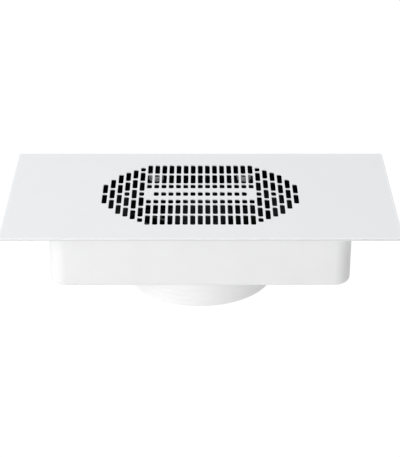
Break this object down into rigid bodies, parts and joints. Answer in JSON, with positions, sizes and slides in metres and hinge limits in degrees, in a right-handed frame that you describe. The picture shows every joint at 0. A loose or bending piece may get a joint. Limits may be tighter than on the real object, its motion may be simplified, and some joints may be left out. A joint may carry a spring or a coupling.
{
  "type": "bathroom extractor fan",
  "caption": "Slim white wall or ceiling extractor fan: flat slotted front panel over a shallow rounded box with a round spigot for a 100 mm duct.",
  "frame": {"origin": "centre of the duct spigot's open end, which is also the middle of the part's underside as it stands on the spigot", "axes": "+Z out of the front panel into the room, +X along the panel's long side; air flows towards -Z"},
  "size_m": [0.25, 0.127, 0.0565],
  "materials": {
    "panel_coating": "white powder coat, fine, semi-gloss",
    "white_plastic": "moulded, semi-gloss",
    "black_plastic": "fine moulded texture",
    "grey_plastic": "moulded",
    "rubber": "matt",
    "foam_tape": "closed-cell foam",
    "steel": "turned",
    "zinc_screws": "zinc plated",
    "magnet": "bonded ferrite, matt",
    "lamination": "stacked sheet edges",
    "copper": "enamelled winding wire",
    "brass": "turned",
    "circuit_board": "solder mask",
    "capacitor_sleeve": "shrink sleeve",
    "bobbin": "taped winding",
    "brown_sleeve": "lead insulation",
    "blue_sleeve": "lead insulation",
    "red_sleeve": "lead insulation",
    "black_sleeve": "lead insulation"
  },
  "bodies": {
    "fan_body": {"housing": "white_plastic", "duct_spigot": "white_plastic", "spigot_gasket": "rubber", "flap_pin": "steel", "fan_frame": "black_plastic", "inlet_shroud": "black_plastic", "bearing_lower": "steel", "bearing_upper": "steel", "bearing_tube": "brass", "motor_board": "circuit_board", "stator_core": "lamination", "stator_coil_1": "copper", "stator_coil_2": "copper", "stator_coil_3": "copper", "stator_coil_4": "copper", "terminal_block": "grey_plastic", "terminal_screw_1": "zinc_screws", "terminal_screw_2": "zinc_screws", "terminal_screw_3": "zinc_screws", "cable_clamp": "white_plastic", "clamp_screw_1": "zinc_screws", "clamp_screw_2": "zinc_screws", "cable_grommet": "rubber", "control_board": "circuit_board", "board_screw_1": "zinc_screws", "board_screw_2": "zinc_screws", "board_capacitor": "capacitor_sleeve", "board_transformer": "bobbin", "mains_connector": "grey_plastic", "motor_connector": "grey_plastic", "lead_live": "brown_sleeve", "lead_neutral": "blue_sleeve", "lead_motor_1": "red_sleeve", "lead_motor_2": "black_sleeve", "fan_screw_1": "zinc_screws", "fan_screw_2": "zinc_screws", "fan_screw_3": "zinc_screws", "fan_screw_4": "zinc_screws", "shroud_screw_1": "zinc_screws", "shroud_screw_2": "zinc_screws", "shroud_screw_3": "zinc_screws", "shroud_screw_4": "zinc_screws"},
    "rotor": {"impeller": "black_plastic", "rotor_cup": "steel", "rotor_magnet": "magnet", "motor_shaft": "steel", "shaft_clip": "steel"},
    "flap_front": {"flap_front": "white_plastic", "flap_spring_front": "steel"},
    "flap_rear": {"flap_rear": "white_plastic", "flap_spring_rear": "steel"},
    "panel": {"front_panel": "panel_coating", "panel_carrier": "black_plastic", "adhesive_strip_left": "foam_tape", "adhesive_strip_right": "foam_tape"}
  },
  "joints": [
    {"name": "impeller_spin", "type": "hinge", "parent": "fan_body", "child": "rotor", "pos_m": [0, 0, 0.035], "axis": [0, 0, 1], "continuous": true},
    {"name": "flap_front_swing", "type": "hinge", "parent": "fan_body", "child": "flap_front", "pos_m": [0, 0, 0.0108], "axis": [1, 0, 0], "range_deg": [0, 78], "stiffness_Nm_per_rad": 0.0015, "springref_deg": -74.48},
    {"name": "flap_rear_swing", "type": "hinge", "parent": "fan_body", "child": "flap_rear", "pos_m": [0, 0, 0.0108], "axis": [-1, 0, 0], "range_deg": [0, 78], "stiffness_Nm_per_rad": 0.0015, "springref_deg": -74.48},
    {"name": "panel_pull", "type": "slide", "parent": "fan_body", "child": "panel", "axis": [0, 0, 1], "range_m": [0, 0.03]}
  ]
}
